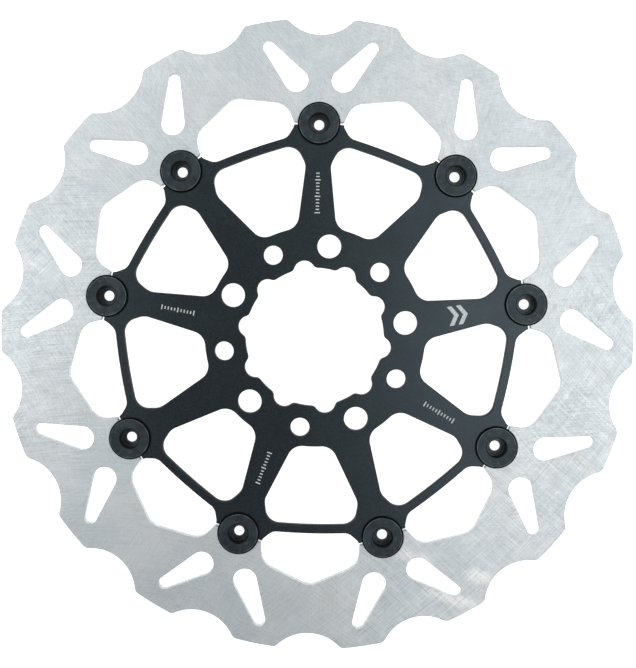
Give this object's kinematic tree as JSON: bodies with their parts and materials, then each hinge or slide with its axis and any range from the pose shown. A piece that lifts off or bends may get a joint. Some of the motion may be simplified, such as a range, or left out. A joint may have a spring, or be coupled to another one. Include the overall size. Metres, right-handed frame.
{
  "type": "motorcycle brake disc rotor",
  "caption": "Full-floating wave brake disc: a scalloped, slotted friction ring on a spoked hub carrier, joined by flanged drive bobbins.",
  "frame": {"origin": "on the wheel axis, in the plane of the bobbins' tails, which is the lowest plane of the part", "axes": "+Z along the wheel axis towards the flange side, which faces away from the wheel; +Y through the first bobbin; +X completes a right-handed frame"},
  "size_m": [0.31, 0.308, 0.0109],
  "materials": {
    "ground_steel": "ground with fine crossing marks",
    "black_carrier": "fine-textured satin black",
    "dark_bobbin": "satin dark hard anodised",
    "zinc_steel": "satin",
    "spring_steel": "dark satin"
  },
  "bodies": {
    "carrier": {"carrier": "black_carrier"},
    "ring": {"brake_ring": "ground_steel"},
    "bobbin_set_1": {"bobbin_1": "dark_bobbin", "flat_washer_1": "zinc_steel", "wave_washer_1": "spring_steel", "circlip_1": "spring_steel"},
    "bobbin_set_2": {"bobbin_2": "dark_bobbin", "flat_washer_2": "zinc_steel", "wave_washer_2": "spring_steel", "circlip_2": "spring_steel"},
    "bobbin_set_3": {"bobbin_3": "dark_bobbin", "flat_washer_3": "zinc_steel", "wave_washer_3": "spring_steel", "circlip_3": "spring_steel"},
    "bobbin_set_4": {"bobbin_4": "dark_bobbin", "flat_washer_4": "zinc_steel", "wave_washer_4": "spring_steel", "circlip_4": "spring_steel"},
    "bobbin_set_5": {"bobbin_5": "dark_bobbin", "flat_washer_5": "zinc_steel", "wave_washer_5": "spring_steel", "circlip_5": "spring_steel"},
    "bobbin_set_6": {"bobbin_6": "dark_bobbin", "flat_washer_6": "zinc_steel", "wave_washer_6": "spring_steel", "circlip_6": "spring_steel"},
    "bobbin_set_7": {"bobbin_7": "dark_bobbin", "flat_washer_7": "zinc_steel", "wave_washer_7": "spring_steel", "circlip_7": "spring_steel"},
    "bobbin_set_8": {"bobbin_8": "dark_bobbin", "flat_washer_8": "zinc_steel", "wave_washer_8": "spring_steel", "circlip_8": "spring_steel"},
    "bobbin_set_9": {"bobbin_9": "dark_bobbin", "flat_washer_9": "zinc_steel", "wave_washer_9": "spring_steel", "circlip_9": "spring_steel"}
  },
  "joints": [
    {"name": "ring_float", "type": "slide", "parent": "carrier", "child": "ring", "axis": [0, 0, 1], "range_m": [-0.0002, 0.0002], "stiffness_N_per_m": 100000},
    {"name": "bobbin_1_spin", "type": "hinge", "parent": "carrier", "child": "bobbin_set_1", "pos_m": [0, 0.1041, 0.00685], "axis": [0, 0, 1], "continuous": true},
    {"name": "bobbin_2_spin", "type": "hinge", "parent": "carrier", "child": "bobbin_set_2", "pos_m": [-0.06691, 0.07974, 0.00685], "axis": [0, 0, 1], "continuous": true},
    {"name": "bobbin_3_spin", "type": "hinge", "parent": "carrier", "child": "bobbin_set_3", "pos_m": [-0.10252, 0.01808, 0.00685], "axis": [0, 0, 1], "continuous": true},
    {"name": "bobbin_4_spin", "type": "hinge", "parent": "carrier", "child": "bobbin_set_4", "pos_m": [-0.09015, -0.05205, 0.00685], "axis": [0, 0, 1], "continuous": true},
    {"name": "bobbin_5_spin", "type": "hinge", "parent": "carrier", "child": "bobbin_set_5", "pos_m": [-0.0356, -0.09782, 0.00685], "axis": [0, 0, 1], "continuous": true},
    {"name": "bobbin_6_spin", "type": "hinge", "parent": "carrier", "child": "bobbin_set_6", "pos_m": [0.0356, -0.09782, 0.00685], "axis": [0, 0, 1], "continuous": true},
    {"name": "bobbin_7_spin", "type": "hinge", "parent": "carrier", "child": "bobbin_set_7", "pos_m": [0.09015, -0.05205, 0.00685], "axis": [0, 0, 1], "continuous": true},
    {"name": "bobbin_8_spin", "type": "hinge", "parent": "carrier", "child": "bobbin_set_8", "pos_m": [0.10252, 0.01808, 0.00685], "axis": [0, 0, 1], "continuous": true},
    {"name": "bobbin_9_spin", "type": "hinge", "parent": "carrier", "child": "bobbin_set_9", "pos_m": [0.06691, 0.07974, 0.00685], "axis": [0, 0, 1], "continuous": true}
  ]
}
